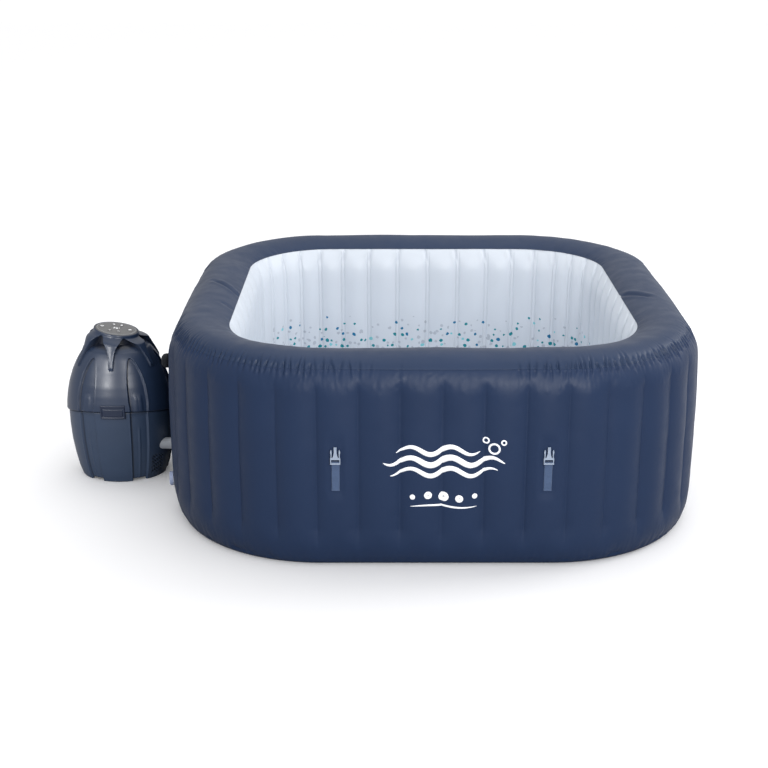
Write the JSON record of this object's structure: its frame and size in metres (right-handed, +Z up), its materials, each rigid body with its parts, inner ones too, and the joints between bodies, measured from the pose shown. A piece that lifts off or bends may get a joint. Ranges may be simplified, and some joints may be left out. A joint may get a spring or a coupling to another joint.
{
  "type": "inflatable hot tub",
  "caption": "Square inflatable spa with thick air-beam walls, pale pebble-print liner, cover straps and a separate egg-shaped pump and heater unit coupled to one side.",
  "frame": {"origin": "centre of the tub's underside, on the ground", "axes": "+X towards the tub's right wall, away from the pump unit; +Y from the tub's front to its back; +Z up"},
  "size_m": [2.2747, 1.8354, 0.695],
  "materials": {
    "air_jet_ring": "smooth pale PVC",
    "air_port": "moulded",
    "air_union_nut": "moulded",
    "air_valve_body": "moulded",
    "air_valve_cap": "moulded",
    "badge_plate": "moulded, satin gloss",
    "base_sheet": "matt laminated PVC",
    "blower_fan": "moulded",
    "blower_housing": "moulded",
    "breaker_plug": "moulded",
    "bubble_button": "soft-touch key",
    "buckle_plastic": "moulded acetal",
    "circuit_board": "varnished board",
    "circulation_pump": "moulded",
    "control_head": "moulded, satin gloss",
    "control_panel": "fine matt overlay",
    "debris_screen": "moulded",
    "display_window": "smoked gloss",
    "drain_valve_body": "moulded",
    "drain_valve_cap": "moulded",
    "filter_cap": "moulded",
    "filter_cartridge": "pleated paper",
    "filter_housing": "moulded",
    "floor_liner": "pale laminated PVC with an all-over pebble print",
    "gasket_front": "soft black",
    "gasket_rear": "soft black",
    "heat_button": "soft-touch key",
    "heater_tube": "drawn tube",
    "ibeam_webs": "plain scrim webbing",
    "impeller": "moulded",
    "inner_wall": "smooth pale laminated PVC with a pebble print low down",
    "outer_wall": "matt laminated PVC with welded web lines",
    "power_button": "soft-touch key",
    "power_lead": "soft black",
    "pump_base_plate": "moulded, satin gloss",
    "pump_base_shell": "moulded, satin gloss",
    "pump_top_shell": "moulded, satin gloss",
    "webbing": "woven strap",
    "temp_down_button": "soft-touch key",
    "temp_up_button": "soft-touch key",
    "timer_button": "soft-touch key",
    "top_rim": "matt laminated PVC, slightly worn",
    "union_nut_front": "moulded",
    "union_nut_rear": "moulded",
    "water_port_front": "moulded",
    "water_port_rear": "moulded"
  },
  "bodies": {
    "tub": {"air_jet_ring": "air_jet_ring", "air_port": "air_port", "air_valve_body": "air_valve_body", "base_sheet": "base_sheet", "drain_valve_body": "drain_valve_body", "filter_housing": "filter_housing", "floor_liner": "floor_liner", "gasket_front": "gasket_front", "gasket_rear": "gasket_rear", "ibeam_webs": "ibeam_webs", "inner_wall": "inner_wall", "outer_wall": "outer_wall", "top_rim": "top_rim", "water_port_front": "water_port_front", "water_port_rear": "water_port_rear"},
    "pump_unit": {"pump_top_shell": "pump_top_shell", "pump_base_shell": "pump_base_shell", "pump_base_plate": "pump_base_plate", "badge_plate": "badge_plate", "control_head": "control_head", "control_panel": "control_panel", "display_window": "display_window", "circuit_board": "circuit_board", "circulation_pump": "circulation_pump", "heater_tube": "heater_tube", "blower_housing": "blower_housing", "power_lead": "power_lead", "breaker_plug": "breaker_plug"},
    "union_nut_front": {"union_nut_front": "union_nut_front"},
    "union_nut_rear": {"union_nut_rear": "union_nut_rear"},
    "air_union_nut": {"air_union_nut": "air_union_nut"},
    "impeller": {"impeller": "impeller"},
    "blower_fan": {"blower_fan": "blower_fan"},
    "power_button": {"power_button": "power_button"},
    "bubble_button": {"bubble_button": "bubble_button"},
    "heat_button": {"heat_button": "heat_button"},
    "timer_button": {"timer_button": "timer_button"},
    "temp_up_button": {"temp_up_button": "temp_up_button"},
    "temp_down_button": {"temp_down_button": "temp_down_button"},
    "air_valve_cap": {"air_valve_cap": "air_valve_cap"},
    "drain_valve_cap": {"drain_valve_cap": "drain_valve_cap"},
    "debris_screen": {"debris_screen": "debris_screen"},
    "filter_cartridge": {"filter_cartridge": "filter_cartridge"},
    "filter_cap": {"filter_cap": "filter_cap"},
    "strap_front_left": {"strap_front_left": "webbing"},
    "buckle_front_left": {"buckle_front_left": "buckle_plastic"},
    "strap_front_right": {"strap_front_right": "webbing"},
    "buckle_front_right": {"buckle_front_right": "buckle_plastic"},
    "strap_right_front": {"strap_right_front": "webbing"},
    "buckle_right_front": {"buckle_right_front": "buckle_plastic"},
    "strap_right_rear": {"strap_right_rear": "webbing"},
    "buckle_right_rear": {"buckle_right_rear": "buckle_plastic"},
    "strap_rear_right": {"strap_rear_right": "webbing"},
    "buckle_rear_right": {"buckle_rear_right": "buckle_plastic"},
    "strap_rear_left": {"strap_rear_left": "webbing"},
    "buckle_rear_left": {"buckle_rear_left": "buckle_plastic"},
    "strap_left_rear": {"strap_left_rear": "webbing"},
    "buckle_left_rear": {"buckle_left_rear": "buckle_plastic"},
    "strap_left_front": {"strap_left_front": "webbing"},
    "buckle_left_front": {"buckle_left_front": "buckle_plastic"}
  },
  "joints": [
    {"name": "pump_unit_slide", "type": "slide", "parent": "tub", "child": "pump_unit", "axis": [-1, 0, 0], "range_m": [0, 0.3]},
    {"name": "union_nut_front_turn", "type": "hinge", "parent": "pump_unit", "child": "union_nut_front", "pos_m": [-0.93, -0.15, 0.129], "axis": [-1, 0, 0], "continuous": true},
    {"name": "union_nut_rear_turn", "type": "hinge", "parent": "pump_unit", "child": "union_nut_rear", "pos_m": [-0.93, -0.01, 0.129], "axis": [-1, 0, 0], "continuous": true},
    {"name": "air_union_nut_turn", "type": "hinge", "parent": "pump_unit", "child": "air_union_nut", "pos_m": [-0.93, -0.08, 0.196], "axis": [-1, 0, 0], "continuous": true},
    {"name": "impeller_spin", "type": "hinge", "parent": "pump_unit", "child": "impeller", "pos_m": [-1.143, -0.01, 0.129], "axis": [1, 0, 0], "continuous": true},
    {"name": "blower_fan_spin", "type": "hinge", "parent": "pump_unit", "child": "blower_fan", "pos_m": [-1.143, -0.08, 0.3], "axis": [0, 0, 1], "continuous": true},
    {"name": "power_button_press", "type": "slide", "parent": "pump_unit", "child": "power_button", "axis": [-0.1564, 0, -0.9877], "range_m": [0, 0.001]},
    {"name": "bubble_button_press", "type": "slide", "parent": "pump_unit", "child": "bubble_button", "axis": [-0.1564, 0, -0.9877], "range_m": [0, 0.001]},
    {"name": "heat_button_press", "type": "slide", "parent": "pump_unit", "child": "heat_button", "axis": [-0.1564, 0, -0.9877], "range_m": [0, 0.001]},
    {"name": "timer_button_press", "type": "slide", "parent": "pump_unit", "child": "timer_button", "axis": [-0.1564, 0, -0.9877], "range_m": [0, 0.001]},
    {"name": "temp_up_button_press", "type": "slide", "parent": "pump_unit", "child": "temp_up_button", "axis": [-0.1564, 0, -0.9877], "range_m": [0, 0.001]},
    {"name": "temp_down_button_press", "type": "slide", "parent": "pump_unit", "child": "temp_down_button", "axis": [-0.1564, 0, -0.9877], "range_m": [0, 0.001]},
    {"name": "air_valve_cap_turn", "type": "hinge", "parent": "tub", "child": "air_valve_cap", "pos_m": [-0.90432, -0.385, 0.527], "axis": [-0.9997, -0.0262, 0], "continuous": true},
    {"name": "drain_valve_cap_turn", "type": "hinge", "parent": "tub", "child": "drain_valve_cap", "pos_m": [-0.90002, -0.44, 0.112], "axis": [-0.9917, -0.1288, 0], "continuous": true},
    {"name": "debris_screen_turn", "type": "hinge", "parent": "tub", "child": "debris_screen", "pos_m": [-0.645, -0.15, 0.129], "axis": [1, 0, 0], "continuous": true},
    {"name": "filter_cartridge_slide", "type": "slide", "parent": "tub", "child": "filter_cartridge", "axis": [1, 0, 0], "range_m": [0, 0.12]},
    {"name": "filter_cap_turn", "type": "hinge", "parent": "filter_cartridge", "child": "filter_cap", "pos_m": [-0.53, -0.01, 0.129], "axis": [1, 0, 0], "continuous": true},
    {"name": "strap_front_left_flap", "type": "hinge", "parent": "tub", "child": "strap_front_left", "pos_m": [-0.319, -0.9063, 0.268], "axis": [1, 0, 0], "range_deg": [0, 150]},
    {"name": "buckle_front_left_swing", "type": "hinge", "parent": "strap_front_left", "child": "buckle_front_left", "pos_m": [-0.319, -0.9111, 0.364], "axis": [1, 0, 0], "range_deg": [0, 60]},
    {"name": "strap_front_right_flap", "type": "hinge", "parent": "tub", "child": "strap_front_right", "pos_m": [0.346, -0.9063, 0.268], "axis": [1, 0, 0], "range_deg": [0, 150]},
    {"name": "buckle_front_right_swing", "type": "hinge", "parent": "strap_front_right", "child": "buckle_front_right", "pos_m": [0.346, -0.9111, 0.364], "axis": [1, 0, 0], "range_deg": [0, 60]},
    {"name": "strap_right_front_flap", "type": "hinge", "parent": "tub", "child": "strap_right_front", "pos_m": [0.9063, -0.341, 0.268], "axis": [0, 1, 0], "range_deg": [0, 150]},
    {"name": "buckle_right_front_swing", "type": "hinge", "parent": "strap_right_front", "child": "buckle_right_front", "pos_m": [0.9111, -0.341, 0.364], "axis": [0, 1, 0], "range_deg": [0, 60]},
    {"name": "strap_right_rear_flap", "type": "hinge", "parent": "tub", "child": "strap_right_rear", "pos_m": [0.9063, 0.341, 0.268], "axis": [0, 1, 0], "range_deg": [0, 150]},
    {"name": "buckle_right_rear_swing", "type": "hinge", "parent": "strap_right_rear", "child": "buckle_right_rear", "pos_m": [0.9111, 0.341, 0.364], "axis": [0, 1, 0], "range_deg": [0, 60]},
    {"name": "strap_rear_right_flap", "type": "hinge", "parent": "tub", "child": "strap_rear_right", "pos_m": [0.341, 0.9063, 0.268], "axis": [-1, 0, 0], "range_deg": [0, 150]},
    {"name": "buckle_rear_right_swing", "type": "hinge", "parent": "strap_rear_right", "child": "buckle_rear_right", "pos_m": [0.341, 0.9111, 0.364], "axis": [-1, 0, 0], "range_deg": [0, 60]},
    {"name": "strap_rear_left_flap", "type": "hinge", "parent": "tub", "child": "strap_rear_left", "pos_m": [-0.341, 0.9063, 0.268], "axis": [-1, 0, 0], "range_deg": [0, 150]},
    {"name": "buckle_rear_left_swing", "type": "hinge", "parent": "strap_rear_left", "child": "buckle_rear_left", "pos_m": [-0.341, 0.9111, 0.364], "axis": [-1, 0, 0], "range_deg": [0, 60]},
    {"name": "strap_left_rear_flap", "type": "hinge", "parent": "tub", "child": "strap_left_rear", "pos_m": [-0.9063, 0.341, 0.268], "axis": [0, -1, 0], "range_deg": [0, 150]},
    {"name": "buckle_left_rear_swing", "type": "hinge", "parent": "strap_left_rear", "child": "buckle_left_rear", "pos_m": [-0.9111, 0.341, 0.364], "axis": [0, -1, 0], "range_deg": [0, 60]},
    {"name": "strap_left_front_flap", "type": "hinge", "parent": "tub", "child": "strap_left_front", "pos_m": [-0.9063, -0.341, 0.268], "axis": [0, -1, 0], "range_deg": [0, 150]},
    {"name": "buckle_left_front_swing", "type": "hinge", "parent": "strap_left_front", "child": "buckle_left_front", "pos_m": [-0.9111, -0.341, 0.364], "axis": [0, -1, 0], "range_deg": [0, 60]}
  ]
}
